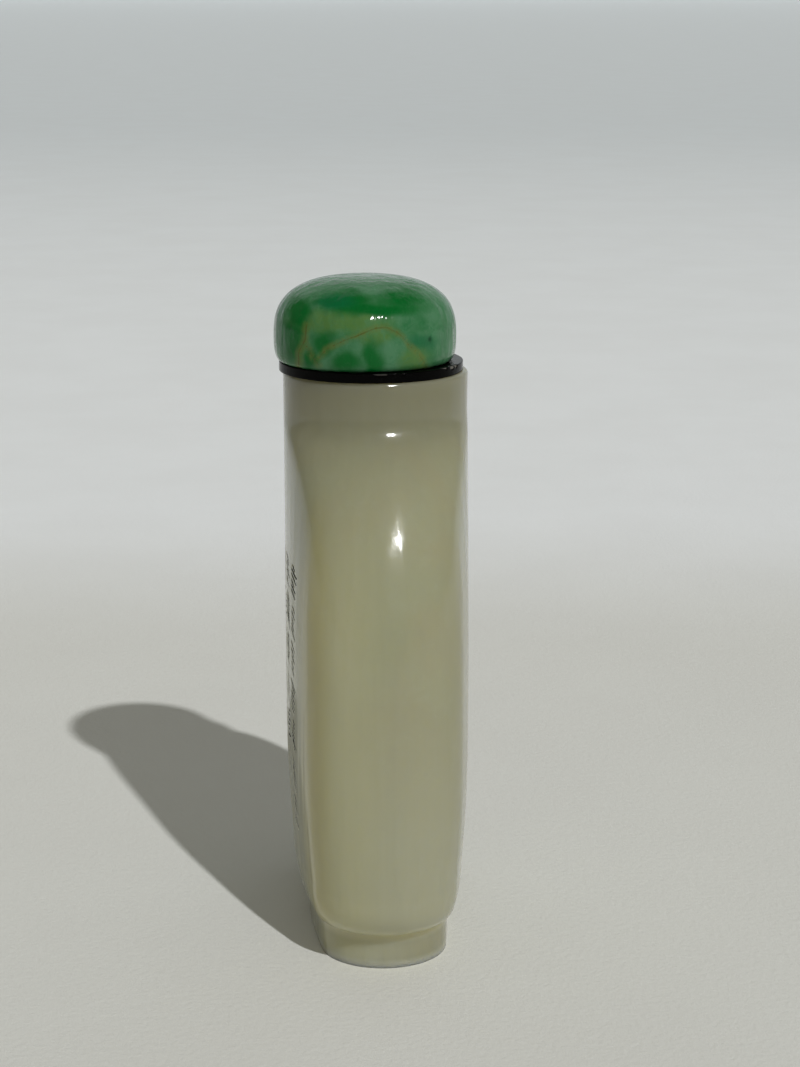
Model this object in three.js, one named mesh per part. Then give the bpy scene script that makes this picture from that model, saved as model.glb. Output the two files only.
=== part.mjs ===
// Flattened snuff bottle of pale jade on a low oval foot, with a black collar and a green
// domed cap as its stopper.
//
// Millimetres. X runs along the bottle's width, Y through its thickness, Z up. The origin is
// on the surface that the foot stands on, below the axis of the neck. -Y is the front.

import * as THREE from 'three';

// ---------------------------------------------------------------- driving dimensions

const SECTION_SIDES = 64;        // straight sides in each cross-section, a multiple of 4

// foot: an upright oval block, hollowed underneath to leave a standing rim
const FOOT_HEIGHT = 3.85;
const FOOT_HALF_WIDTH = 18.1;
const FOOT_HALF_THICKNESS = 7.4;
const FOOT_END_RADIUS = 6.6;
const RIM_WIDTH = 1.9;
const RECESS_DEPTH = 0.8;
const RECESS_WALL_RUN = 0.4;     // how far the recess wall leans in

// body: a four-arc oval in plan at every height
const BODY_BASE_Z = 8.3;         // top of the rounding above the foot
const BODY_BASE_HALF_WIDTH = 21.5;
const BODY_HALF_THICKNESS = 9.65;
const END_ROUNDNESS = 0.845;     // end radius as a share of the half thickness
const SPREAD_HALF_WIDTH = 19;    // half width at which the plan is fully a four-arc oval
const BASE_THINNING = 0.6;       // the body is this much thinner each side at BODY_BASE_Z
const THINNING_TOP_Z = 22;       // and keeps its full thickness above this
const SIDE_TOP_Z = 27;           // where the side starts to turn in towards the shoulder
const SIDE_TOP_HALF_WIDTH = 21.6;
const SIDE_TOP_LEAN = 0.032;     // inward lean of the side there, per unit of height
const SIDE_FULLNESS = 0.8;       // how far the side's curve is pulled out past its base
const SHOULDER_PULL = 15.5;      // how long the shoulder's curve keeps to the side's line
const SHOULDER_RUN = 4.5;        // and to the cove's slope

// neck: round, joined to the shoulders by a cove
const NECK_RADIUS = 9.65;
const NECK_Z = 55.8;             // top of the cove
const COVE_RADIUS = 3.5;
const COVE_ANGLE = Math.PI / 4;  // slope at which the cove meets the shoulder
const LIP_Z = 59.35;
const LIP_EDGE_RADIUS = 0.4;

// hollow: a drilled mouth that opens into a cavity following the outside
const WALL = 2.2;
const MOUTH_RADIUS = 4.25;
const MOUTH_EDGE = 0.3;
const MOUTH_FOOT_Z = 53.5;       // lower end of the drilled mouth
const CAVITY_CLOSING_Z = 46;     // above this the cavity's two faces draw together
const CAVITY_FLOOR_Z = 5.9;

// stopper: collar with a spigot in the mouth, and a dome on the collar
const COLLAR_RADIUS = 9.6;
const COLLAR_THICKNESS = 1;
const COLLAR_EDGE = 0.08;
const COLLAR_SHIFT_Y = -0.46;    // the stopper sits a little to the front of the neck
const SPIGOT_RADIUS = 3.45;
const SPIGOT_LENGTH = 3.85;
const SPIGOT_EDGE = 0.4;
const CAP_RADIUS = 9.5;
const CAP_SHIFT_Y = -1.08;
const CAP_HEIGHT = 8.775;
const CAP_WIDEST = 2.5;          // height of the widest level above the collar
const CAP_EXPONENT = 2.75;       // superellipse power of the dome
const CAP_SEAT_RADIUS = 8.6;     // flat that rests on the collar
const CAP_UNDER_EXPONENT = 2.6;

// ---------------------------------------------------------------- cross-sections

// One quarter of a four-arc oval from (halfWidth, 0) to (0, halfThickness), in equal steps
// of arc length. The end arc and the side arc meet at a common tangent.
function quarterOval(halfWidth, halfThickness, endRadius, steps) {
  const endCentre = halfWidth - endRadius;
  const spare = halfThickness - endRadius;
  const round = endCentre < 1e-6 || spare < 1e-6;
  const sideRadius = round
    ? halfThickness
    : (endCentre ** 2 + halfThickness ** 2 - endRadius ** 2) / (2 * spare);
  const joint = round ? Math.PI / 2 : Math.atan2(sideRadius - halfThickness, endCentre);
  const endLength = endRadius * joint;
  const length = endLength + sideRadius * (Math.PI / 2 - joint);
  const points = [];
  for (let i = 0; i <= steps; i += 1) {
    const along = (length * i) / steps;
    if (along <= endLength) {
      const angle = along / endRadius;
      points.push([endCentre + endRadius * Math.cos(angle), endRadius * Math.sin(angle)]);
    } else {
      const angle = joint + (along - endLength) / sideRadius;
      const rise = halfThickness - sideRadius + sideRadius * Math.sin(angle);
      points.push([sideRadius * Math.cos(angle), rise]);
    }
  }
  points[0][1] = 0;
  points[steps][0] = 0;
  return points;
}

// The whole oval at height z, anticlockwise seen from above.
function ovalRing({ halfWidth, halfThickness, endRadius, z }) {
  const steps = SECTION_SIDES / 4;
  const quarter = quarterOval(halfWidth, halfThickness, endRadius, steps);
  const ring = [];
  for (let i = 0; i < steps; i += 1) ring.push([quarter[i][0], quarter[i][1], z]);
  for (let i = steps; i > 0; i -= 1) ring.push([-quarter[i][0], quarter[i][1], z]);
  for (let i = 0; i < steps; i += 1) ring.push([-quarter[i][0], -quarter[i][1], z]);
  for (let i = steps; i > 0; i -= 1) ring.push([quarter[i][0], -quarter[i][1], z]);
  return ring;
}

// A closed skin through a run of rings, with a single point closing each end.
function loftRings(rings, startPoint, endPoint) {
  const vertices = [startPoint, ...rings.flat(), endPoint];
  const last = vertices.length - 1;
  const triangles = [];
  const at = (ring, side) => 1 + ring * SECTION_SIDES + (side % SECTION_SIDES);
  for (let side = 0; side < SECTION_SIDES; side += 1) {
    triangles.push(0, at(0, side + 1), at(0, side));
    triangles.push(last, at(rings.length - 1, side), at(rings.length - 1, side + 1));
    for (let ring = 0; ring + 1 < rings.length; ring += 1) {
      triangles.push(at(ring, side), at(ring, side + 1), at(ring + 1, side + 1));
      triangles.push(at(ring, side), at(ring + 1, side + 1), at(ring + 1, side));
    }
  }
  const geometry = new THREE.BufferGeometry();
  geometry.setAttribute('position', new THREE.Float32BufferAttribute(vertices.flat(), 3));
  geometry.setIndex(triangles);
  geometry.computeVertexNormals();
  return geometry;
}

const roundSection = (radius, z) => ({
  halfWidth: radius,
  halfThickness: radius,
  endRadius: radius,
  z,
});

// ---------------------------------------------------------------- bottle

// Half the thickness of the body at a height.
function bodyHalfThickness(z) {
  const below = Math.max(0, (THINNING_TOP_Z - z) / (THINNING_TOP_Z - BODY_BASE_Z));
  return BODY_HALF_THICKNESS - BASE_THINNING * below ** 2;
}

// The oval for a point of the broad outline: an even oval on the body, a circle at the neck.
function bodySection(halfWidth, z) {
  const halfThickness = bodyHalfThickness(z);
  const spread = THREE.MathUtils.smoothstep(halfWidth, NECK_RADIUS, SPREAD_HALF_WIDTH);
  const endRadius = halfThickness * (1 - (1 - END_ROUNDNESS) * spread);
  return { halfWidth: Math.max(halfWidth, halfThickness), halfThickness, endRadius, z };
}

// Right half of the broad outline from the base rounding to the neck, as x = half width and
// y = height.
function broadOutline() {
  const coveX = NECK_RADIUS + COVE_RADIUS * (1 - Math.cos(COVE_ANGLE));
  const coveY = NECK_Z - COVE_RADIUS * Math.sin(COVE_ANGLE);
  const base = new THREE.Vector2(BODY_BASE_HALF_WIDTH, BODY_BASE_Z);
  const sideTop = new THREE.Vector2(SIDE_TOP_HALF_WIDTH, SIDE_TOP_Z);
  const third = (sideTop.y - base.y) / 3;
  const side = new THREE.CubicBezierCurve(
    base,
    new THREE.Vector2(base.x + SIDE_FULLNESS, base.y + third),
    new THREE.Vector2(sideTop.x + SIDE_TOP_LEAN * third, sideTop.y - third),
    sideTop,
  );
  const lean = SIDE_TOP_LEAN * SHOULDER_PULL;
  const shoulder = new THREE.CubicBezierCurve(
    sideTop,
    new THREE.Vector2(sideTop.x - lean, sideTop.y + SHOULDER_PULL),
    new THREE.Vector2(coveX + SHOULDER_RUN, coveY - SHOULDER_RUN),
    new THREE.Vector2(coveX, coveY),
  );
  const cove = new THREE.EllipseCurve(
    NECK_RADIUS + COVE_RADIUS, NECK_Z, COVE_RADIUS, COVE_RADIUS,
    Math.PI + COVE_ANGLE, Math.PI, true, 0,
  );
  return [
    ...curvePoints(side, 5),
    ...curvePoints(shoulder, 12).slice(1),
    ...curvePoints(cove, 3).slice(1),
  ];
}

// Points along a plane curve, each with the curve's direction there.
function curvePoints(curve, steps) {
  return Array.from({ length: steps + 1 }, (_, i) => {
    const point = curve.getPoint(i / steps);
    const way = curve.getTangent(i / steps);
    return { x: point.x, y: point.y, wayX: way.x, wayY: way.y };
  });
}

// The foot's outline at height z, moved in by an inset.
const footOval = (z, inset = 0) => ({
  halfWidth: FOOT_HALF_WIDTH - inset,
  halfThickness: FOOT_HALF_THICKNESS - inset,
  endRadius: FOOT_END_RADIUS - inset,
  z,
});

// Quarter-round from the top of the foot out to the full body.
function baseRounding() {
  const foot = footOval(FOOT_HEIGHT);
  const body = bodySection(BODY_BASE_HALF_WIDTH, BODY_BASE_Z);
  const steps = 5;
  const sections = [];
  for (let i = 1; i < steps; i += 1) {
    const angle = (Math.PI / 2) * (1 - i / steps);
    const out = Math.cos(angle);
    sections.push({
      halfWidth: THREE.MathUtils.lerp(foot.halfWidth, body.halfWidth, out),
      halfThickness: THREE.MathUtils.lerp(foot.halfThickness, body.halfThickness, out),
      endRadius: THREE.MathUtils.lerp(foot.endRadius, body.endRadius, out),
      z: BODY_BASE_Z - (BODY_BASE_Z - FOOT_HEIGHT) * Math.sin(angle),
    });
  }
  return sections;
}

function outerSections(outline) {
  const sections = [
    footOval(RECESS_DEPTH, RIM_WIDTH + RECESS_WALL_RUN),
    footOval(0, RIM_WIDTH),
    footOval(0),
    footOval(FOOT_HEIGHT),
    ...baseRounding(),
    ...outline.map((p) => bodySection(p.x, p.y)),
  ];
  for (const angle of [0, Math.PI / 4, Math.PI / 2]) {
    const inset = LIP_EDGE_RADIUS * (1 - Math.cos(angle));
    const rise = LIP_EDGE_RADIUS * (1 - Math.sin(angle));
    sections.push(roundSection(NECK_RADIUS - inset, LIP_Z - rise));
  }
  return sections;
}

// Half the thickness of the cavity: the wall's thickness inside the body, drawn in to the
// mouth above CAVITY_CLOSING_Z and rounded in towards its floor.
function cavityHalfThickness(z) {
  const full = bodyHalfThickness(z) - WALL;
  const up = Math.max(0, (z - CAVITY_CLOSING_Z) / (MOUTH_FOOT_Z - CAVITY_CLOSING_Z));
  return MOUTH_RADIUS + (full - MOUTH_RADIUS) * Math.sqrt(Math.max(0, 1 - up ** 2));
}

function cavitySection(halfWidth, z, shrink = 1) {
  const halfThickness = cavityHalfThickness(z) * shrink;
  const width = Math.max(halfWidth * shrink, halfThickness);
  const spread = THREE.MathUtils.smoothstep(width, MOUTH_RADIUS, SPREAD_HALF_WIDTH - WALL);
  const roundness = 1 - 0.2 * spread;
  return { halfWidth: width, halfThickness, endRadius: halfThickness * roundness, z };
}

// From the mouth down to the cavity's floor.
function innerSections(outline) {
  const mouth = [
    roundSection(MOUTH_RADIUS + MOUTH_EDGE, LIP_Z),
    roundSection(MOUTH_RADIUS, LIP_Z - MOUTH_EDGE),
    roundSection(MOUTH_RADIUS, MOUTH_FOOT_Z),
  ];
  // the outline moved in by the wall, every second point, from the shoulder down
  const inner = outline
    .filter((p, i) => i % 2 === 0 && p.x > NECK_RADIUS + 1)
    .map((p) => ({ x: p.x - WALL * p.wayY, y: p.y + WALL * p.wayX }))
    .reverse();
  const walls = inner.map((p) => cavitySection(p.x, p.y));
  const lowest = inner[inner.length - 1];
  const drop = lowest.y - CAVITY_FLOOR_Z;
  const floorRounding = [0.4, 0.75, 0.95].map((down) => {
    const shrink = 0.72 + 0.28 * Math.sqrt(1 - down ** 2);
    return cavitySection(lowest.x, lowest.y - drop * down, shrink);
  });
  return [...mouth, ...walls, ...floorRounding];
}

function makeBottle() {
  const outline = broadOutline();
  const rings = [...outerSections(outline), ...innerSections(outline)].map(ovalRing);
  return loftRings(rings, [0, 0, RECESS_DEPTH], [0, 0, CAVITY_FLOOR_Z]);
}

// ---------------------------------------------------------------- stopper

// Turned solid from a profile of [radius, height] pairs that starts and ends on the axis.
function turn(profile) {
  const points = profile.map(([radius, height]) => new THREE.Vector2(radius, height));
  const geometry = new THREE.LatheGeometry(points, SECTION_SIDES);
  geometry.rotateX(Math.PI / 2);
  return geometry;
}

// The collar's underside is at height 0, on the lip.
function makeCollar() {
  return turn([
    [0, -SPIGOT_LENGTH],
    [SPIGOT_RADIUS - SPIGOT_EDGE, -SPIGOT_LENGTH],
    [SPIGOT_RADIUS, SPIGOT_EDGE - SPIGOT_LENGTH],
    [SPIGOT_RADIUS, 0],
    [COLLAR_RADIUS - COLLAR_EDGE, 0],
    [COLLAR_RADIUS, COLLAR_EDGE],
    [COLLAR_RADIUS, COLLAR_THICKNESS - COLLAR_EDGE],
    [COLLAR_RADIUS - COLLAR_EDGE, COLLAR_THICKNESS],
    [0, COLLAR_THICKNESS],
  ]);
}

// A superellipse quarter: how much radius is left at a share of the rise.
const superRadius = (share, exponent) => (1 - share ** exponent) ** (1 / exponent);

// The cap's underside is at height 0, on the collar.
function makeCap() {
  const profile = [[0, 0], [CAP_SEAT_RADIUS, 0]];
  const underSteps = 4;
  for (let i = 1; i <= underSteps; i += 1) {
    const angle = (Math.PI / 2) * (i / underSteps);
    const share = Math.cos(angle) ** (2 / CAP_UNDER_EXPONENT);
    const left = Math.sin(angle) ** (2 / CAP_UNDER_EXPONENT);
    profile.push([
      CAP_SEAT_RADIUS + (CAP_RADIUS - CAP_SEAT_RADIUS) * left,
      CAP_WIDEST * (1 - share),
    ]);
  }
  const domeSteps = 12;
  for (let i = 1; i < domeSteps; i += 1) {
    const share = Math.sin((Math.PI / 2) * (i / domeSteps)) ** (2 / CAP_EXPONENT);
    profile.push([
      CAP_RADIUS * superRadius(share, CAP_EXPONENT),
      CAP_WIDEST + (CAP_HEIGHT - CAP_WIDEST) * share,
    ]);
  }
  profile.push([0, CAP_HEIGHT]);
  return turn(profile);
}

// ---------------------------------------------------------------- the object

const paleJade = new THREE.MeshStandardMaterial({
  color: 0xb5b596,
  roughness: 0.25,
  metalness: 0,
});
const blackCollar = new THREE.MeshStandardMaterial({
  color: 0x15171a,
  roughness: 0.2,
  metalness: 0,
});
const greenJade = new THREE.MeshStandardMaterial({
  color: 0x2f7d56,
  roughness: 0.2,
  metalness: 0,
});

function piece(name, geometry, material, y, z) {
  const mesh = new THREE.Mesh(geometry, material);
  mesh.name = name;
  mesh.position.set(0, y, z);
  return mesh;
}

const snuffBottle = new THREE.Group();
snuffBottle.add(
  piece('bottle', makeBottle(), paleJade, 0, 0),
  piece('stopper_collar', makeCollar(), blackCollar, COLLAR_SHIFT_Y, LIP_Z),
  piece('stopper_cap', makeCap(), greenJade, CAP_SHIFT_Y, LIP_Z + COLLAR_THICKNESS),
);

export default snuffBottle;
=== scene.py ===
"""Looks of a flattened pale jade snuff bottle with a black collar and a green jadeite cap.

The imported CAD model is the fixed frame: +Z up, X along the width, -Y the inscribed front.
Each CAD node is replaced by a fine mesh of the same size. Lengths below are in millimetres
until a mesh is made, which turns them into metres.
"""

import math
import random

import bpy
import numpy as np
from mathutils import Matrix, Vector, noise


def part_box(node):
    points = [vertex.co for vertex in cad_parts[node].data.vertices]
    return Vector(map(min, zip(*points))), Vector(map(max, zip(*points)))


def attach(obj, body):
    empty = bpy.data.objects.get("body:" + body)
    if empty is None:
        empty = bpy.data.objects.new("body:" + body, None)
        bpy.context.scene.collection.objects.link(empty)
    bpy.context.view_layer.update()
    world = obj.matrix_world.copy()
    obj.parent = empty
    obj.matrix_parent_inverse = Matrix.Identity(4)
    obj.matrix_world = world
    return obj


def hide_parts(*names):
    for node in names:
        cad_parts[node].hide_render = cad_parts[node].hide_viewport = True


MM = 0.001
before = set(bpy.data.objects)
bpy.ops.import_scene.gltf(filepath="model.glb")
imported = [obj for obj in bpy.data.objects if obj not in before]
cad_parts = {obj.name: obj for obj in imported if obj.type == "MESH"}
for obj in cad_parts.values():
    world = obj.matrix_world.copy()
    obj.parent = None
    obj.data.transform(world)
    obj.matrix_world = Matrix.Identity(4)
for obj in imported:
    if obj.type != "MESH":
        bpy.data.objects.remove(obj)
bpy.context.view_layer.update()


def node_box(name):
    """Lowest and highest corners of a CAD node, in millimetres."""
    low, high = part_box(name)
    return np.array(low) / MM, np.array(high) / MM


BOTTLE_HIGH = node_box("bottle")[1]
COLLAR_LOW, COLLAR_HIGH = node_box("stopper_collar")
CAP_LOW, CAP_HIGH = node_box("stopper_cap")

# ---------------------------------------------------------------- sizes of the bottle

FOOT_HEIGHT = 3.85
FOOT_OVAL = np.array([18.1, 7.4, 6.6])     # half width, half thickness, end radius
FOOT_EDGE = 0.08                # rounding of its standing edge
RIM_WIDTH = 1.9
RECESS_DEPTH = 0.8
RECESS_WALL_RUN = 0.4

BODY_BASE_Z = 8.3
BODY_BASE_HALF_WIDTH = 21.5
BODY_HALF_THICKNESS = BOTTLE_HIGH[1]
END_ROUNDNESS = 0.845
SPREAD_HALF_WIDTH = 19.0
BASE_THINNING = 0.6
THINNING_TOP_Z = 22.0
SIDE_TOP_Z = 27.0
SIDE_TOP_HALF_WIDTH = 21.6
SIDE_TOP_LEAN = 0.032
SIDE_FULLNESS = 0.8
SHOULDER_PULL = 15.5
SHOULDER_RUN = 4.5

NECK_RADIUS = BOTTLE_HIGH[1]
NECK_Z = 55.8
COVE_RADIUS = 3.5
COVE_ANGLE = math.pi / 4
LIP_Z = BOTTLE_HIGH[2]
LIP_EDGE_RADIUS = 0.4

WALL = 2.2
MOUTH_RADIUS = 4.25
MOUTH_EDGE = 0.3
MOUTH_FOOT_Z = 53.5
CAVITY_CLOSING_Z = 46.0
CAVITY_FLOOR_Z = 5.9
CAVITY_SQUARING = 0.2            # how much the cavity's ends lose of a full rounding
WAVE_DEPTH = 0.03                # how deep the waves of hand polishing are

# spacing of the bottle's vertices, along its height and round its section
LOW_BODY_STEP = 0.5
MARKED_STEP = 0.105
SHOULDER_STEP = 0.33
NECK_STEP = 0.6
CAVITY_STEP = 2.2
ROUND_STEP = 0.65
MARKED_ROUND_STEP = 0.19
QUARTER_LENGTH = 26.7            # length of a quarter of the body's section


# ---------------------------------------------------------------- plane curves


def smoothstep(x, low, high):
    t = np.clip((np.asarray(x, float) - low) / (high - low), 0, 1)
    return t * t * (3 - 2 * t)


def bezier(points, steps):
    """Points on a cubic curve."""
    t = np.linspace(0, 1, steps + 1)[:, None]
    a, b, c, d = (np.array(p, float) for p in points)
    return (1 - t) ** 3 * a + 3 * (1 - t) ** 2 * t * b + 3 * (1 - t) * t**2 * c + t**3 * d


def resampled(points, heights):
    """The half width at each height of an outline that rises all the way."""
    return np.interp(heights, points[:, 1], points[:, 0])


def broad_outline():
    """Half width against height, from the base rounding to the top of the cove."""
    cove_x = NECK_RADIUS + COVE_RADIUS * (1 - math.cos(COVE_ANGLE))
    cove_z = NECK_Z - COVE_RADIUS * math.sin(COVE_ANGLE)
    third = (SIDE_TOP_Z - BODY_BASE_Z) / 3
    base = (BODY_BASE_HALF_WIDTH, BODY_BASE_Z)
    side_top = (SIDE_TOP_HALF_WIDTH, SIDE_TOP_Z)
    side = bezier(
        [
            base,
            (base[0] + SIDE_FULLNESS, base[1] + third),
            (side_top[0] + SIDE_TOP_LEAN * third, side_top[1] - third),
            side_top,
        ],
        200,
    )
    shoulder = bezier(
        [
            side_top,
            (side_top[0] - SIDE_TOP_LEAN * SHOULDER_PULL, side_top[1] + SHOULDER_PULL),
            (cove_x + SHOULDER_RUN, cove_z - SHOULDER_RUN),
            (cove_x, cove_z),
        ],
        300,
    )
    turn = np.linspace(COVE_ANGLE, 0, 60)
    cove = np.stack(
        [
            NECK_RADIUS + COVE_RADIUS * (1 - np.cos(turn)),
            NECK_Z - COVE_RADIUS * np.sin(turn),
        ],
        axis=1,
    )
    return np.concatenate([side, shoulder[1:], cove[1:]])


# ---------------------------------------------------------------- cross-sections


def oval_points(half_width, half_thickness, end_radius, share):
    """Points of a four-arc oval at shares of its way round, anticlockwise from +X."""
    end_centre = half_width - end_radius
    spare = half_thickness - end_radius
    if end_centre < 1e-6 or spare < 1e-6:
        side_radius, joint = half_thickness, math.pi / 2
    else:
        side_radius = (end_centre**2 + half_thickness**2 - end_radius**2) / (2 * spare)
        joint = math.atan2(side_radius - half_thickness, end_centre)
    end_length = end_radius * joint
    quarter_length = end_length + side_radius * (math.pi / 2 - joint)
    quarter = np.floor(share * 4 + 1e-9).astype(int) % 4
    within = np.clip(share * 4 - np.floor(share * 4 + 1e-9), 0, 1)
    mirrored = quarter % 2 == 1
    along = np.where(mirrored, 1 - within, within) * quarter_length
    on_end = along <= end_length
    end_angle = along / end_radius
    side_angle = joint + (along - end_length) / side_radius
    end_x = end_centre + end_radius * np.cos(end_angle)
    x = np.where(on_end, end_x, side_radius * np.cos(side_angle))
    side_y = half_thickness - side_radius + side_radius * np.sin(side_angle)
    y = np.where(on_end, end_radius * np.sin(end_angle), side_y)
    x = np.where((quarter == 1) | (quarter == 2), -x, x)
    y = np.where(quarter >= 2, -y, y)
    return x, y


def body_half_thickness(z):
    below = max(0.0, (THINNING_TOP_Z - z) / (THINNING_TOP_Z - BODY_BASE_Z))
    return BODY_HALF_THICKNESS - BASE_THINNING * below**2


def body_section(half_width, z):
    half_thickness = body_half_thickness(z)
    spread = float(smoothstep(half_width, NECK_RADIUS, SPREAD_HALF_WIDTH))
    end_radius = half_thickness * (1 - (1 - END_ROUNDNESS) * spread)
    return max(half_width, half_thickness), half_thickness, end_radius, z


def foot_section(inset, z):
    return (*(FOOT_OVAL - inset), z)


def cavity_section(half_width, z, shrink=1.0):
    full = body_half_thickness(z) - WALL
    up = min(1.0, max(0.0, (z - CAVITY_CLOSING_Z) / (MOUTH_FOOT_Z - CAVITY_CLOSING_Z)))
    half_thickness = (MOUTH_RADIUS + (full - MOUTH_RADIUS) * math.sqrt(1 - up**2)) * shrink
    width = max(half_width * shrink, half_thickness)
    spread = float(smoothstep(width, MOUTH_RADIUS, SPREAD_HALF_WIDTH - WALL))
    return width, half_thickness, half_thickness * (1 - CAVITY_SQUARING * spread), z


# ---------------------------------------------------------------- marks on the front

NO_STROKE = 0.5                  # the gap given where no stroke is near
MARK_STROKE = 0.125              # half the width of an engraved stroke
MARK_DEPTH = 0.08
MARK_HEIGHT = 3.3
MARK_WIDTH = 3.1
MARK_PITCH = 4.16
# columns of marks: x of the column, height of the top mark, how many marks
MARK_COLUMNS = [(8.0, 38.6, 7), (4.1, 38.9, 7), (0.2, 38.9, 5)]
DENSE_X = (-2.1, 10.3)           # stretch of the front that needs a fine mesh
DENSE_Z = (11.8, 40.9)


def mark_strokes():
    """Short separate dashes in columns, generic and unreadable, as (x0, z0, x1, z1)."""
    dice = random.Random(11)
    strokes = []
    for column_x, top_z, count in MARK_COLUMNS:
        for i in range(count):
            centre_x = column_x + dice.uniform(-0.15, 0.15)
            centre_z = top_z - i * MARK_PITCH + dice.uniform(-0.1, 0.1)
            dashes = dice.choice([5, 6, 7])
            slope = dice.choice([-0.32, -0.2, 0.16])
            for k in range(dashes):
                level = centre_z + MARK_HEIGHT * ((k + 0.5) / dashes - 0.5)
                middle = centre_x + dice.uniform(-0.4, 0.4)
                reach = MARK_WIDTH / 2 * dice.uniform(0.4, 1.0)
                rise = (slope + dice.uniform(-0.06, 0.06)) * reach
                strokes.append((middle - reach, level - rise, middle + reach, level + rise))
    return strokes


def stroke_gap(x, z, strokes):
    """Distance to the nearest stroke's edge, less than 0 inside it."""
    nearest = np.full(x.shape, NO_STROKE)
    for x0, z0, x1, z1 in strokes:
        near = (abs(x - (x0 + x1) / 2) < 2) & (abs(z - (z0 + z1) / 2) < 0.7)
        px, pz = x[near] - x0, z[near] - z0
        run, rise = x1 - x0, z1 - z0
        t = np.clip((px * run + pz * rise) / (run**2 + rise**2), 0, 1)
        # a brushed dash is thickest a third of the way along
        half = MARK_STROKE * (1.25 - abs(t - 0.35))
        nearest[near] = np.minimum(nearest[near], np.hypot(px - t * run, pz - t * rise) - half)
    return nearest


# ---------------------------------------------------------------- surface waves


def wave(points, size, seed):
    """Smooth noise from -1 to 1 at each point, for features of about this size."""
    shift = Vector((seed * 7.3, seed * 3.1, seed * 5.7))
    return np.array([noise.noise(Vector(p) / size + shift) for p in points.reshape(-1, 3)])


# ---------------------------------------------------------------- meshes


def make_object(name, vertices, faces, origin=(0, 0, 0)):
    """A smooth mesh object from millimetres, with its own origin."""
    mesh = bpy.data.meshes.new(name)
    local = (np.asarray(vertices) - np.asarray(origin)) * MM
    mesh.from_pydata(local.tolist(), [], faces)
    mesh.polygons.foreach_set("use_smooth", np.ones(len(mesh.polygons), bool))
    mesh.update()
    piece = bpy.data.objects.new(name, mesh)
    piece.location = Vector(origin) * MM
    bpy.context.scene.collection.objects.link(piece)
    return piece


def add_mask(piece, name, values):
    """A number for each vertex that the material reads."""
    attribute = piece.data.attributes.new(name, "FLOAT", "POINT")
    attribute.data.foreach_set("value", np.asarray(values, np.float32))


def ring_faces(rings, sides):
    """Quads between closed rings, and a fan at each end to the first and last vertex."""
    side = np.arange(sides)
    after = (side + 1) % sides
    faces = []
    for ring in range(rings - 1):
        low, high = 1 + ring * sides, 1 + (ring + 1) * sides
        faces += np.stack([low + side, low + after, high + after, high + side], 1).tolist()
    top = 1 + (rings - 1) * sides
    last = 1 + rings * sides
    faces += np.stack([np.zeros(sides, int), 1 + after, 1 + side], 1).tolist()
    faces += np.stack([np.full(sides, last), top + side, top + after], 1).tolist()
    return faces


def spaced(low, high, step):
    return np.linspace(low, high, max(2, int(round((high - low) / step)) + 1))


def bottle_shares():
    """Where the columns of vertices stand around each section, closer on the marked front."""
    low, high = (0.75 + 0.25 * x / QUARTER_LENGTH for x in DENSE_X)
    coarse = ROUND_STEP / (4 * QUARTER_LENGTH)
    fine = MARKED_ROUND_STEP / (4 * QUARTER_LENGTH)
    return np.concatenate(
        [
            spaced(0, low, coarse)[:-1],
            spaced(low, high, fine)[:-1],
            spaced(high, 1, coarse)[:-1],
        ]
    )


def bottle_sections():
    """Sections from under the foot, up the outside, over the lip and down the hollow."""
    outline = broad_outline()
    recess = RIM_WIDTH + RECESS_WALL_RUN
    sections = [foot_section(recess + inset, RECESS_DEPTH) for inset in (3, 1, 0.15)]
    sections += [foot_section(recess, RECESS_DEPTH - 0.1)]
    sections += [foot_section(RIM_WIDTH + 0.1, 0.1), foot_section(RIM_WIDTH, 0.0)]
    for angle in np.linspace(0, math.pi / 2, 5):
        inset = FOOT_EDGE * (1 - math.sin(angle))
        sections.append(foot_section(inset, FOOT_EDGE * (1 - math.cos(angle))))
    for z in np.linspace(0.6, FOOT_HEIGHT - 0.25, 5):
        sections.append(foot_section(0, z))
    foot_top = np.array(foot_section(0, FOOT_HEIGHT))
    body_foot = np.array(body_section(BODY_BASE_HALF_WIDTH, BODY_BASE_Z))
    for angle in np.linspace(math.pi / 2, 0, 21)[:-1]:
        section = foot_top + (body_foot - foot_top) * math.cos(angle)
        section[3] = BODY_BASE_Z - (BODY_BASE_Z - FOOT_HEIGHT) * math.sin(angle)
        sections.append(tuple(section))
    heights = np.concatenate(
        [
            spaced(BODY_BASE_Z, DENSE_Z[0], LOW_BODY_STEP)[:-1],
            spaced(*DENSE_Z, MARKED_STEP)[:-1],
            spaced(DENSE_Z[1], NECK_Z, SHOULDER_STEP)[:-1],
            spaced(NECK_Z, LIP_Z - LIP_EDGE_RADIUS, NECK_STEP),
        ]
    )
    widths = resampled(outline, heights)
    sections += [body_section(width, z) for width, z in zip(widths, heights)]
    for angle in np.linspace(0, math.pi / 2, 7)[1:]:
        radius = NECK_RADIUS - LIP_EDGE_RADIUS * (1 - math.cos(angle))
        sections.append((radius, radius, radius, LIP_Z - LIP_EDGE_RADIUS * (1 - math.sin(angle))))
    for angle in np.linspace(math.pi / 2, 0, 4):
        radius = MOUTH_RADIUS + MOUTH_EDGE * (1 - math.cos(angle))
        sections.append((radius, radius, radius, LIP_Z - MOUTH_EDGE * (1 - math.sin(angle))))
    for z in np.linspace(LIP_Z - 1, MOUTH_FOOT_Z, 3):
        sections.append((MOUTH_RADIUS, MOUTH_RADIUS, MOUTH_RADIUS, z))
    return sections + cavity_sections(outline)


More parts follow.
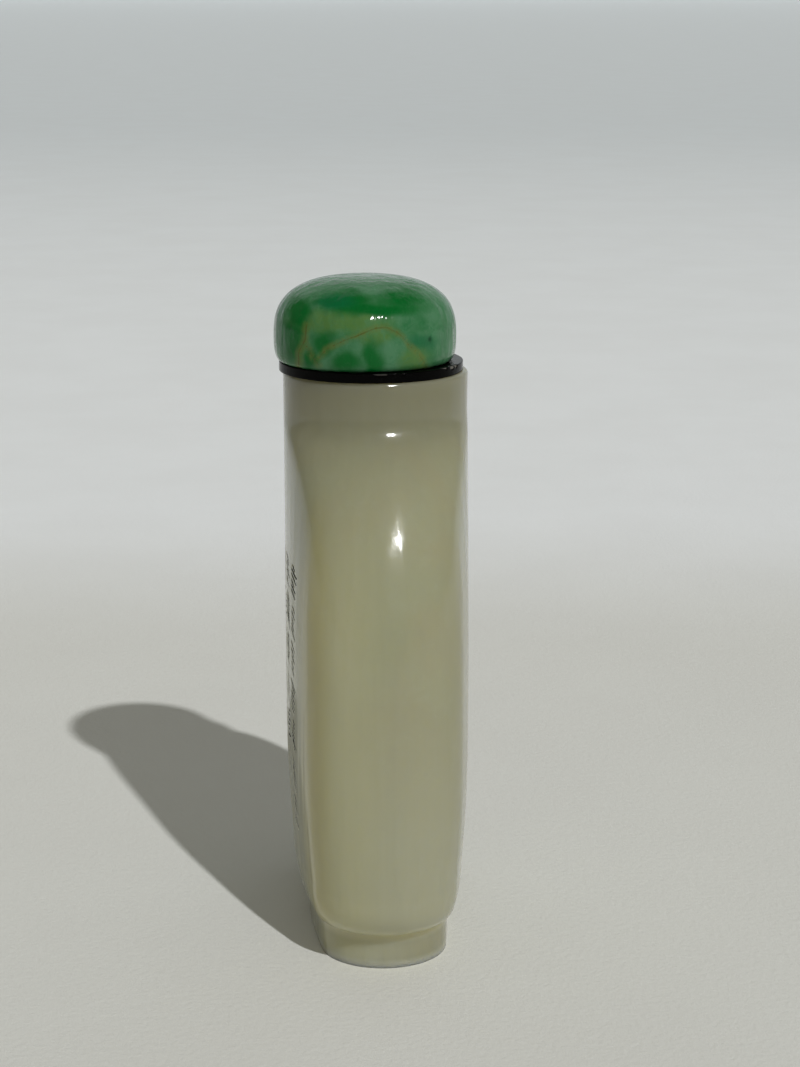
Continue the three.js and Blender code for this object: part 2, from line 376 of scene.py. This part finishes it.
def cavity_sections(outline):
    """The outline moved in by the wall, then rounded in to the floor of the hollow."""
    way = np.gradient(outline, axis=0)
    way /= np.linalg.norm(way, axis=1)[:, None]
    inner = outline + WALL * np.stack([-way[:, 1], way[:, 0]], 1)
    inner = inner[outline[:, 0] > NECK_RADIUS + 1]
    top = inner[:, 1].max()
    heights = spaced(inner[0, 1], top - 0.01, CAVITY_STEP)[::-1]
    widths = resampled(inner, heights)
    sections = [cavity_section(width, z) for width, z in zip(widths, heights)]
    drop = heights[-1] - CAVITY_FLOOR_Z
    for down in (0.4, 0.7, 0.9, 0.98):
        shrink = 0.72 + 0.28 * math.sqrt(1 - down**2)
        sections.append(cavity_section(widths[-1], heights[-1] - drop * down, shrink))
    return sections


def polished(skin):
    """The outer skin, drawn in by the slight waves that hand polishing leaves."""
    x, y, z = skin[..., 0], skin[..., 1], skin[..., 2]
    core = np.clip(abs(x).max(axis=1, keepdims=True) - BODY_HALF_THICKNESS, 0, None)
    out = np.stack([x - np.clip(x, -core, core), y], -1)
    out /= np.linalg.norm(out, axis=-1, keepdims=True) + 1e-9
    waves = 0.7 * wave(skin, 9.0, 1) + 0.3 * wave(skin, 3.2, 2)
    body = smoothstep(z, FOOT_HEIGHT, FOOT_HEIGHT + 3) * (1 - smoothstep(z, NECK_Z, LIP_Z - 0.5))
    depth = WAVE_DEPTH * (1 + waves.reshape(z.shape)) * body
    moved = skin.copy()
    moved[..., :2] -= out * depth[..., None]
    return moved


def make_bottle():
    share = bottle_shares()
    sections = bottle_sections()
    rings = []
    for section in sections:
        x, y = oval_points(*section[:3], share)
        rings.append(np.stack([x, y, np.full(x.shape, section[3])], 1))
    grid = np.array(rings)
    inside = np.argmax([s[3] for s in sections])      # the first ring on the lip
    front = np.zeros(grid.shape[:2], bool)
    front[:inside] = (grid[:inside, :, 1] < -5) & (grid[:inside, :, 2] > DENSE_Z[0])
    gap = np.full(grid.shape[:2], NO_STROKE)
    gap[front] = stroke_gap(grid[..., 0][front], grid[..., 2][front], mark_strokes())
    grid[:inside] = polished(grid[:inside])
    grid[..., 1] += MARK_DEPTH * (1 - smoothstep(gap, -0.03, 0.06))
    recess_middle, cavity_middle = [[0, 0, RECESS_DEPTH]], [[0, 0, CAVITY_FLOOR_Z]]
    vertices = np.concatenate([recess_middle, grid.reshape(-1, 3), cavity_middle])
    piece = make_object("jade_bottle", vertices, ring_faces(len(sections), len(share)))
    add_mask(piece, "stroke_gap", with_ends(gap, NO_STROKE))
    return piece


def turned(profile, sides):
    """Rings turned from [radius, height] rows; the axis points are left out."""
    profile = np.asarray(profile, float)
    angle = np.linspace(0, 2 * math.pi, sides, endpoint=False)
    grid = np.empty((len(profile), sides, 3))
    grid[..., 0] = profile[:, :1] * np.cos(angle)
    grid[..., 1] = profile[:, :1] * np.sin(angle)
    grid[..., 2] = profile[:, 1:]
    return grid


def closed(grid):
    """The rings' vertices with a point on the axis at each end, and their faces."""
    low = [[0, 0, grid[0, :, 2].mean()]]
    high = [[0, 0, grid[-1, :, 2].mean()]]
    vertices = np.concatenate([low, grid.reshape(-1, 3), high])
    return vertices, ring_faces(len(grid), grid.shape[1])


def with_ends(values, end=0.0):
    """Values of the rings' vertices, with the same value for each end point."""
    return np.concatenate([[end], values.ravel(), [end]])


# ---------------------------------------------------------------- stopper

COLLAR_RADIUS = (COLLAR_HIGH[0] - COLLAR_LOW[0]) / 2
COLLAR_THICKNESS = COLLAR_HIGH[2] - LIP_Z
COLLAR_EDGE = 0.08
SPIGOT_RADIUS = 3.45
SPIGOT_EDGE = 0.4
# worn stretches of the collar's top edge: from angle, to angle, how much (degrees from +X)
WORN_STRETCHES = [(42, 66, 1.0), (-4, 20, 0.35), (150, 165, 0.5), (245, 252, 0.6)]
CHIP_DEPTH = 0.13
COLLAR_SIDES = 600

CAP_RADIUS = (CAP_HIGH[0] - CAP_LOW[0]) / 2
CAP_HEIGHT = CAP_HIGH[2] - CAP_LOW[2]
CAP_WIDEST = 2.5
CAP_EXPONENT = 2.75
CAP_SEAT_RADIUS = 8.6
CAP_UNDER_EXPONENT = 2.6
CAP_SIDES = 400
NO_VEIN = 2.0                    # the distance given where no vein is near


def make_collar():
    centre = (COLLAR_LOW + COLLAR_HIGH) / 2
    spigot_foot = COLLAR_LOW[2] - LIP_Z
    profile = [(r, spigot_foot) for r in (0.8, 2.0, SPIGOT_RADIUS - SPIGOT_EDGE)]
    for angle in np.linspace(0, math.pi / 2, 5)[1:]:
        inset = SPIGOT_EDGE * (1 - math.sin(angle))
        profile.append((SPIGOT_RADIUS - inset, spigot_foot + SPIGOT_EDGE * (1 - math.cos(angle))))
    profile += [(SPIGOT_RADIUS, -0.06), (SPIGOT_RADIUS + 0.06, 0), (COLLAR_RADIUS - 0.6, 0)]
    for angle in np.linspace(0, math.pi / 2, 4):
        inset = COLLAR_EDGE * (1 - math.sin(angle))
        profile.append((COLLAR_RADIUS - inset, COLLAR_EDGE * (1 - math.cos(angle))))
    profile += [(COLLAR_RADIUS, COLLAR_THICKNESS * share) for share in (0.3, 0.5, 0.65, 0.78, 0.86)]
    for angle in np.linspace(0, math.pi / 2, 5):
        inset = COLLAR_EDGE * (1 - math.cos(angle))
        drop = COLLAR_EDGE * (1 - math.sin(angle))
        profile.append((COLLAR_RADIUS - inset, COLLAR_THICKNESS - drop))
    for inset in (0.16, 0.26, 0.4, 0.8, 5, 8.6):
        profile.append((COLLAR_RADIUS - inset, COLLAR_THICKNESS))
    grid = turned(profile, COLLAR_SIDES)
    worn = worn_edge(grid)
    grid[..., :2] *= 1 - (worn * CHIP_DEPTH / COLLAR_RADIUS)[..., None]
    grid[..., 2] -= worn * CHIP_DEPTH
    vertices, faces = closed(grid)
    origin = np.array([centre[0], centre[1], LIP_Z])
    piece = make_object("black_collar", vertices + origin, faces, origin)
    add_mask(piece, "worn", with_ends(worn))
    return piece


def worn_edge(grid):
    """How worn each vertex of the collar is: small chips along its top edge."""
    angle = np.degrees(np.arctan2(grid[..., 1], grid[..., 0]))
    radius = np.hypot(grid[..., 0], grid[..., 1])
    from_edge = np.hypot(COLLAR_RADIUS - radius, COLLAR_THICKNESS - grid[..., 2])
    patchy = smoothstep(wave(grid * (1, 1, 0.5), 0.75, 5).reshape(angle.shape), -0.1, 0.25)
    worn = np.zeros(angle.shape)
    for start, end, amount in WORN_STRETCHES:
        middle, half = (start + end) / 2, (end - start) / 2
        away = abs((angle - middle + 180) % 360 - 180) / half
        worn = np.maximum(worn, amount * (1 - smoothstep(away, 0.6, 1.0)))
    return worn * patchy * (1 - smoothstep(from_edge, 0.1, 0.3)) * (radius > 5)


# The cap's colouring, placed by (across, up): across is Y from the cap's axis, and up is
# the height on the +X side, which runs on over the crown.
EMERALD_PATCHES = [
    # across, up, half width, half height
    (-2.3, 7.5, 3.0, 0.95),
    (3.2, 7.6, 2.1, 1.05),
    (-6.9, 6.2, 0.95, 1.9),
    (-7.6, 3.3, 0.95, 2.3),
    (-2.3, 1.3, 1.6, 1.1),
    (0.3, 1.6, 1.0, 1.8),
    (-5.8, 1.6, 0.8, 0.8),
    (-4.6, 3.2, 1.2, 1.3),
    (0.4, 6.6, 4.6, 0.7),
]
TEAL_PATCHES = [(-3.4, 7.3, 1.8, 0.8), (5.3, 3.2, 1.6, 0.6)]
TAN_PATCHES = [
    (-2.8, 5.3, 4.4, 1.1),
    (4.7, 1.4, 1.5, 1.1),
    (-6.9, 2.9, 0.5, 2.4),
    (0.6, 3.7, 1.6, 0.7),
]
DARK_PATCHES = [(6.4, 3.3, 0.22, 0.22)]
VEINS = [
    [(-4.2, 2.7), (-2.1, 3.6), (0.6, 4.6), (1.7, 4.75),
     (2.7, 4.2), (3.7, 3.1), (5.0, 1.9), (6.1, 0.4)],
    [(-6.3, 5.0), (-6.5, 3.4), (-7.1, 2.2), (-7.1, 0.8)],
    [(-6.4, 2.9), (-5.9, 2.0), (-5.1, 0.9)],
    [(-4.2, 2.7), (-5.1, 1.7)],
]


def patch_mask(across, up, patches, softness=0.55):
    """1 inside any of the oval patches, fading out around them."""
    mask = np.zeros(across.shape)
    for x, y, half_width, half_height in patches:
        away = np.hypot((across - x) / half_width, (up - y) / half_height)
        mask = np.maximum(mask, 1 - smoothstep(away, 1 - softness, 1 + softness))
    return mask


def vein_distance(across, up):
    nearest = np.full(across.shape, NO_VEIN)
    for vein in VEINS:
        for (x0, y0), (x1, y1) in zip(vein, vein[1:]):
            run, rise = x1 - x0, y1 - y0
            t = np.clip(((across - x0) * run + (up - y0) * rise) / (run**2 + rise**2), 0, 1)
            gap = np.hypot(across - x0 - t * run, up - y0 - t * rise)
            nearest = np.minimum(nearest, gap)
    return nearest


def make_cap():
    centre = (CAP_LOW + CAP_HIGH) / 2
    profile = [(r, 0) for r in (1, 4, 7, 8, CAP_SEAT_RADIUS)]
    for angle in np.linspace(0, math.pi / 2, 19)[1:-1]:
        share = math.cos(angle) ** (2 / CAP_UNDER_EXPONENT)
        left = math.sin(angle) ** (2 / CAP_UNDER_EXPONENT)
        radius = CAP_SEAT_RADIUS + (CAP_RADIUS - CAP_SEAT_RADIUS) * left
        profile.append((radius, CAP_WIDEST * (1 - share)))
    profile.append((CAP_RADIUS, CAP_WIDEST))
    for angle in np.linspace(0, math.pi / 2, 100)[1:-1]:
        share = math.sin(angle) ** (2 / CAP_EXPONENT)
        radius = CAP_RADIUS * (1 - share**CAP_EXPONENT) ** (1 / CAP_EXPONENT)
        profile.append((radius, CAP_WIDEST + (CAP_HEIGHT - CAP_WIDEST) * share))
    grid = turned(profile, CAP_SIDES)
    vertices, faces = closed(grid)
    origin = np.array([centre[0], centre[1], CAP_LOW[2]])
    piece = make_object("green_cap", vertices + origin, faces, origin)
    near = smoothstep(grid[..., 0], -2.5, 1.5)
    ripple = [wave(grid, 1.6, seed).reshape(near.shape) for seed in (3, 4)]
    across = grid[..., 1] + 0.55 * ripple[0]
    up = grid[..., 2] + 0.14 * (CAP_RADIUS - grid[..., 0]) + 0.45 * ripple[1]
    far = smoothstep(wave(grid * (1, 1, 1.6), 5.0, 8).reshape(near.shape), 0.08, 0.4) * (1 - near)
    emerald = np.maximum(patch_mask(across, up, EMERALD_PATCHES) * near, far)
    add_mask(piece, "emerald", with_ends(emerald))
    add_mask(piece, "teal", with_ends(patch_mask(across, up, TEAL_PATCHES) * near))
    add_mask(piece, "tan", with_ends(patch_mask(across, up, TAN_PATCHES) * near))
    add_mask(piece, "dark", with_ends(patch_mask(across, up, DARK_PATCHES, 0.4) * near))
    fine_across = grid[..., 1] + 0.12 * ripple[1]
    fine_up = up - 0.33 * ripple[1]
    distance = vein_distance(fine_across, fine_up) + NO_VEIN * (1 - near)
    add_mask(piece, "vein", with_ends(distance))
    return piece


# ---------------------------------------------------------------- materials


class Graph:
    """A material's nodes, added one after another."""

    def __init__(self, name):
        self.material = bpy.data.materials.new(name)
        self.material.use_nodes = True
        self.nodes = self.material.node_tree.nodes
        self.links = self.material.node_tree.links
        self.shader = self.nodes["Principled BSDF"]

    def node(self, kind, inputs=None, **settings):
        made = self.nodes.new(kind)
        for key, value in settings.items():
            setattr(made, key, value)
        for key, value in (inputs or {}).items():
            self.put(made.inputs[key], value)
        return made

    def put(self, socket, value):
        """Links an output, or sets a plain value."""
        if isinstance(value, bpy.types.NodeSocket):
            self.links.new(value, socket)
        else:
            socket.default_value = value

    def place(self):
        """Object coordinates in millimetres."""
        coordinates = self.node("ShaderNodeTexCoord")
        return self.stretched(coordinates.outputs["Object"], (1000, 1000, 1000))

    def stretched(self, place, by):
        """A place with each coordinate multiplied by its own number."""
        made = self.node("ShaderNodeVectorMath", {0: place, 1: by}, operation="MULTIPLY")
        return made.outputs[0]

    def noise(self, place, scale, detail=3.0, roughness=0.5, distortion=0.0):
        made = self.node(
            "ShaderNodeTexNoise",
            {
                "Vector": place,
                "Scale": scale,
                "Detail": detail,
                "Roughness": roughness,
                "Distortion": distortion,
            },
        )
        return made.outputs["Fac"]

    def span(self, value, low, high, to_low=0.0, to_high=1.0):
        made = self.node(
            "ShaderNodeMapRange",
            {
                "Value": value,
                "From Min": low,
                "From Max": high,
                "To Min": to_low,
                "To Max": to_high,
            },
            interpolation_type="SMOOTHSTEP",
        )
        return made.outputs[0]

    def math(self, operation, a, b=0.0):
        return self.node("ShaderNodeMath", {0: a, 1: b}, operation=operation).outputs[0]

    def mix(self, share, a, b):
        made = self.node("ShaderNodeMix", data_type="RGBA")
        for socket, value in ((made.inputs[0], share), (made.inputs[6], a), (made.inputs[7], b)):
            self.put(socket, value)
        return made.outputs[2]

    def mask(self, name):
        settings = {"attribute_name": name, "attribute_type": "GEOMETRY"}
        return self.node("ShaderNodeAttribute", **settings).outputs["Fac"]

    def bump(self, height, distance):
        made = self.node("ShaderNodeBump", {"Height": height, "Distance": distance})
        self.put(self.shader.inputs["Normal"], made.outputs[0])

    def set(self, **values):
        names = {
            "color": "Base Color",
            "roughness": "Roughness",
            "ior": "IOR",
            "subsurface": "Subsurface Weight",
            "radius": "Subsurface Radius",
            "scale": "Subsurface Scale",
            "specular": "Specular IOR Level",
            "coat": "Coat Weight",
            "coat_roughness": "Coat Roughness",
            "coat_ior": "Coat IOR",
        }
        for key, value in values.items():
            self.put(self.shader.inputs[names[key]], value)


def pale_jade():
    g = Graph("pale_celadon_jade")
    place = g.place()
    split = g.node("ShaderNodeSeparateXYZ", {0: place}).outputs
    cloud = g.noise(place, 0.07, 3, 0.5, 0.8)
    mottle = g.noise(place, 0.5, 4, 0.6, 0.3)
    fine = g.noise(place, 3.2, 3, 0.6)
    color = g.mix(g.span(cloud, 0.36, 0.64), (0.350, 0.341, 0.223, 1), (0.346, 0.351, 0.233, 1))
    color = g.mix(g.math("MULTIPLY", g.span(mottle, 0.5, 0.75), 0.12), color, (0.43, 0.44, 0.33, 1))
    color = g.mix(g.span(split[2], 34, 8), color, (0.382, 0.380, 0.272, 1))
    # painted light and shade: the narrow side is painted lighter and yellower on the half turned
    # from the sun, lighter and browner at that corner, and darker on its sunlit half
    narrow_side = g.span(split[0], 10, 17)
    low_down = g.span(split[2], 50, 36, 0.25, 1.0)
    light = g.math("MULTIPLY", g.math("MULTIPLY", g.span(split[1], 1, -6), narrow_side), low_down)
    color = g.mix(light, color, (0.460, 0.450, 0.285, 1))
    corner_painted_light = g.math("MULTIPLY", g.span(split[1], -5, -8), narrow_side)
    color = g.mix(corner_painted_light, color, (0.45, 0.41, 0.18, 1))
    # painted shade on the sunlit half of the narrow side
    far_side = g.math("MULTIPLY", g.span(split[1], 4.5, 9), narrow_side)
    far_painted_shade = g.math("MULTIPLY", far_side, g.span(split[2], 8, 30, 0.3, 1.0))
    color = g.mix(far_painted_shade, color, (0.315, 0.308, 0.180, 1))
    # painted shade: the foot is painted darker, most on its sunlit side, and painted light makes it
    # lighter where it meets the body and the ground, where shade falls
    foot_painted_shade = g.math("MULTIPLY", g.span(split[2], 4.2, 3.2), g.span(split[1], -2, 5, 0.1, 1.0))
    color = g.mix(foot_painted_shade, color, (0.31, 0.30, 0.195, 1))
    # painted light under the body's overhang and along the standing edge
    under_body = g.math("ABSOLUTE", g.math("SUBTRACT", split[2], FOOT_HEIGHT))
    painted_glow = g.math("MAXIMUM", g.span(split[2], 1.1, 0.1), g.span(under_body, 1.3, 0.2))
    color = g.mix(g.math("MULTIPLY", painted_glow, 0.75), color, (0.62, 0.60, 0.42, 1))
    # painted shade: darker towards the neck
    height = g.math("POWER", g.span(split[2], 40, 59.5), 2.2)
    color = g.mix(g.math("MULTIPLY", height, 0.8), color, (0.19, 0.185, 0.118, 1))
    color = g.mix(g.math("MULTIPLY", g.span(fine, 0.6, 0.8), 0.1), color, (0.25, 0.24, 0.15, 1))
    ink = g.span(g.mask("stroke_gap"), 0.035, -0.01)
    color = g.mix(g.math("MULTIPLY", ink, 0.98), color, (0.004, 0.004, 0.003, 1))
    rough = g.math("ADD", g.span(mottle, 0.3, 0.8, 0.10, 0.16), g.math("MULTIPLY", ink, 0.6))
    g.set(color=color, roughness=rough, ior=1.46)
    g.set(subsurface=1.0, radius=(1.0, 0.9, 0.6), scale=0.008)
    # the ink is duller than the polished stone
    g.set(coat=g.span(ink, 0, 1, 0.2, 0.0), coat_roughness=0.32, coat_ior=1.4)
    g.set(specular=g.span(ink, 0, 1, 0.5, 0.0))
    # upright facets left by grinding the narrow sides, and slight ripples everywhere
    facets = g.stretched(place, (0.5, 0.7, 0.05))
    height_map = g.math("ADD", g.noise(facets, 1.0, 1, 0.3), g.math("MULTIPLY", mottle, 0.15))
    g.bump(height_map, 0.00011)
    return g.material


def green_jadeite():
    g = Graph("green_jadeite")
    place = g.place()
    cloud = g.noise(place, 0.35, 4, 0.6, 0.4)
    grain = g.noise(place, 2.4, 4, 0.65, 0.2)
    streak = g.noise(place, 0.9, 3, 0.6, 1.2)
    color = g.mix(g.span(cloud, 0.35, 0.65), (0.036, 0.160, 0.060, 1), (0.070, 0.205, 0.100, 1))
    deep = g.math("MULTIPLY", g.span(streak, 0.5, 0.75), 0.4)
    color = g.mix(deep, color, (0.006, 0.13, 0.035, 1))
    pale = g.math("MULTIPLY", g.span(grain, 0.55, 0.8), 0.3)
    color = g.mix(pale, color, (0.13, 0.27, 0.15, 1))
    tan = g.math("MULTIPLY", g.mask("tan"), g.span(streak, 0.25, 0.6, 0.35, 0.8))
    color = g.mix(tan, color, (0.088, 0.185, 0.045, 1))
    emerald = g.math("MULTIPLY", g.mask("emerald"), g.span(grain, 0.2, 0.5, 0.8, 1.0))
    color = g.mix(emerald, color, (0.0, 0.112, 0.016, 1))
    color = g.mix(g.math("MULTIPLY", g.mask("teal"), 0.6), color, (0.0, 0.118, 0.040, 1))
    vein = g.mask("vein")
    ochre = g.math("MULTIPLY", g.span(vein, 0.6, 0.05), g.span(streak, 0.3, 0.65, 0.15, 0.6))
    color = g.mix(ochre, color, (0.135, 0.165, 0.038, 1))
    line = g.math("MULTIPLY", g.span(vein, 0.10, 0.015), g.span(streak, 0.3, 0.6, 0.2, 0.75))
    color = g.mix(line, color, (0.080, 0.072, 0.014, 1))
    color = g.mix(g.math("MULTIPLY", g.mask("dark"), 0.8), color, (0.001, 0.04, 0.012, 1))
    g.set(color=color, roughness=g.span(grain, 0.3, 0.8, 0.09, 0.13), ior=1.28)
    g.set(subsurface=0.3, radius=(0.5, 1.0, 0.6), scale=0.0005)
    ridges = g.stretched(place, (0.9, 0.9, 0.3))
    g.bump(g.noise(ridges, 1.0, 2, 0.4), 0.00018)
    return g.material


def black_lacquer():
    g = Graph("black_collar_gloss")
    place = g.place()
    scuff = g.noise(place, 2.2, 4, 0.7)
    worn = g.mask("worn")
    color = g.mix(g.span(scuff, 0.5, 0.8), (0.0005, 0.0005, 0.0005, 1), (0.002, 0.002, 0.002, 1))
    color = g.mix(g.span(worn, 0.15, 0.8), color, (0.14, 0.135, 0.12, 1))
    rough = g.math("ADD", g.span(scuff, 0.3, 0.8, 0.08, 0.2), g.math("MULTIPLY", worn, 0.3))
    g.set(color=color, roughness=rough, ior=1.13)
    g.bump(scuff, 0.00002)
    return g.material


# ---------------------------------------------------------------- the pieces

bottle = make_bottle()
collar = make_collar()
cap = make_cap()
for piece, node, slot, material in (
    (bottle, "bottle", "pale_jade", pale_jade()),
    (collar, "stopper_collar", "black_collar", black_lacquer()),
    (cap, "stopper_cap", "green_jade", green_jadeite()),
):
    piece.data.materials.append(material)
    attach(piece, "root")
    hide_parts(node)

# ---------------------------------------------------------------- floor, light and camera

FLOOR_COLOR = (0.745, 0.75, 0.715, 1)
BACKDROP_PAINTED_LIGHT_COLOR = (0.885, 0.91, 0.925, 1)
FAR_PAINTED_SHADE_COLOR = (0.655, 0.695, 0.715, 1)
BACKDROP_PAINTED_LIGHT_SPAN = (95, 200)            # how far behind the bottle the floor turns to its lighter tone, a painted light
FAR_PAINTED_SHADE_SPAN = (100, 1500)           # and on to its darker tone far off, a painted shade, both in millimetres
SURROUND_COLOR = (0.84, 0.80, 0.68, 1)
SURROUND_STRENGTH = 0.24
HORIZON_COLOR = (0.515, 0.520, 0.475, 1)
SWEEP_START = 10.0               # how far behind the bottle the floor starts to rise, in metres
SWEEP_RADIUS = 1.0
BACKDROP_HEIGHT = 25.0
FLOOR_HALF_WIDTH = 12.0
CAMERA_YAW = math.radians(4.1)   # how far the camera's heading is turned from the X axis
CAMERA_PITCH = math.radians(13.16)
CAMERA_POINT = Vector((0.24477, -0.01497, 0.0990))
LENS_MM = 106.8
SENSOR_MM = 36
KEY_AZIMUTH = math.radians(22.5)
KEY_ELEVATION = math.radians(42.4)
KEY_STRENGTH = 2.08
KEY_ANGLE = math.radians(1.2)    # how wide the sun looks, which softens its shadows


def make_floor():
    """A pale flat floor that sweeps up far away, painted lighter and bluer behind the bottle as
    painted light, and darker far off as painted shade.
    """
    ahead = Vector((-math.cos(CAMERA_YAW), math.sin(CAMERA_YAW), 0))
    across = Vector((-ahead.y, ahead.x, 0))
    section = [(-SWEEP_START, 0.0), (0.0, 0.0), (SWEEP_START, 0.0)]
    for angle in np.linspace(0, math.pi / 2, 24)[1:]:
        run = SWEEP_START + SWEEP_RADIUS * math.sin(angle)
        section.append((run, SWEEP_RADIUS * (1 - math.cos(angle))))
    section.append((SWEEP_START + SWEEP_RADIUS, BACKDROP_HEIGHT))
    vertices = []
    for run, rise in section:
        for side in (-FLOOR_HALF_WIDTH, FLOOR_HALF_WIDTH):
            point = ahead * run + across * side
            vertices.append((point.x / MM, point.y / MM, rise / MM))
    faces = [(2 * i, 2 * i + 2, 2 * i + 3, 2 * i + 1) for i in range(len(section) - 1)]
    floor = make_object("floor", vertices, faces)
    g = Graph("pale_floor")
    place = g.place()
    along = g.node("ShaderNodeVectorMath", {0: place, 1: ahead}, operation="DOT_PRODUCT")
    behind = along.outputs["Value"]
    # painted light behind the bottle, then painted shade far off
    color = g.mix(g.span(behind, *BACKDROP_PAINTED_LIGHT_SPAN), FLOOR_COLOR, BACKDROP_PAINTED_LIGHT_COLOR)
    color = g.mix(g.span(behind, *FAR_PAINTED_SHADE_SPAN), color, FAR_PAINTED_SHADE_COLOR)
    cloth = g.noise(place, 0.03, 4, 0.6)
    color = g.mix(g.span(cloth, 0.3, 0.7, 0.0, 0.06), color, (0.5, 0.48, 0.45, 1))
    g.set(color=color, roughness=0.8)
    g.bump(g.noise(place, 1.2, 5, 0.7), 0.00012)
    floor.data.materials.append(g.material)


def aim(obj, direction):
    """Turns a lamp or camera so that it looks along a direction."""
    obj.rotation_euler = direction.to_track_quat("-Z", "Y").to_euler()


def towards(azimuth, elevation):
    """The unit vector towards a point in the sky."""
    level = math.cos(elevation)
    return Vector((math.cos(azimuth) * level, math.sin(azimuth) * level, math.sin(elevation)))


def add_sun(name, azimuth, elevation, strength, angle):
    lamp = bpy.data.lights.new(name, "SUN")
    lamp.energy = strength
    lamp.angle = angle
    obj = bpy.data.objects.new(name, lamp)
    bpy.context.scene.collection.objects.link(obj)
    aim(obj, -towards(azimuth, elevation))


def make_world():
    """Soft light from all round, seen past the floor's edge as the floor's own pale tone."""
    world = bpy.data.worlds.new("soft_surround")
    world.use_nodes = True
    nodes = world.node_tree.nodes
    links = world.node_tree.links
    light = nodes["Background"]
    light.inputs["Color"].default_value = SURROUND_COLOR
    light.inputs["Strength"].default_value = SURROUND_STRENGTH
    seen = nodes.new("ShaderNodeBackground")
    seen.inputs["Color"].default_value = HORIZON_COLOR
    path = nodes.new("ShaderNodeLightPath")
    either = nodes.new("ShaderNodeMixShader")
    links.new(path.outputs["Is Camera Ray"], either.inputs[0])
    links.new(light.outputs[0], either.inputs[1])
    links.new(seen.outputs[0], either.inputs[2])
    links.new(either.outputs[0], nodes["World Output"].inputs["Surface"])
    bpy.context.scene.world = world


def make_camera():
    data = bpy.data.cameras.new("camera")
    data.lens = LENS_MM
    data.sensor_fit = "HORIZONTAL"
    data.sensor_width = SENSOR_MM
    data.clip_start = 0.005
    camera = bpy.data.objects.new("camera", data)
    bpy.context.scene.collection.objects.link(camera)
    camera.location = CAMERA_POINT
    aim(camera, towards(math.pi - CAMERA_YAW, -CAMERA_PITCH))
    bpy.context.scene.camera = camera


make_floor()
make_world()
add_sun("key", KEY_AZIMUTH, KEY_ELEVATION, KEY_STRENGTH, KEY_ANGLE)
make_camera()
bpy.context.scene.view_settings.view_transform = "Standard"
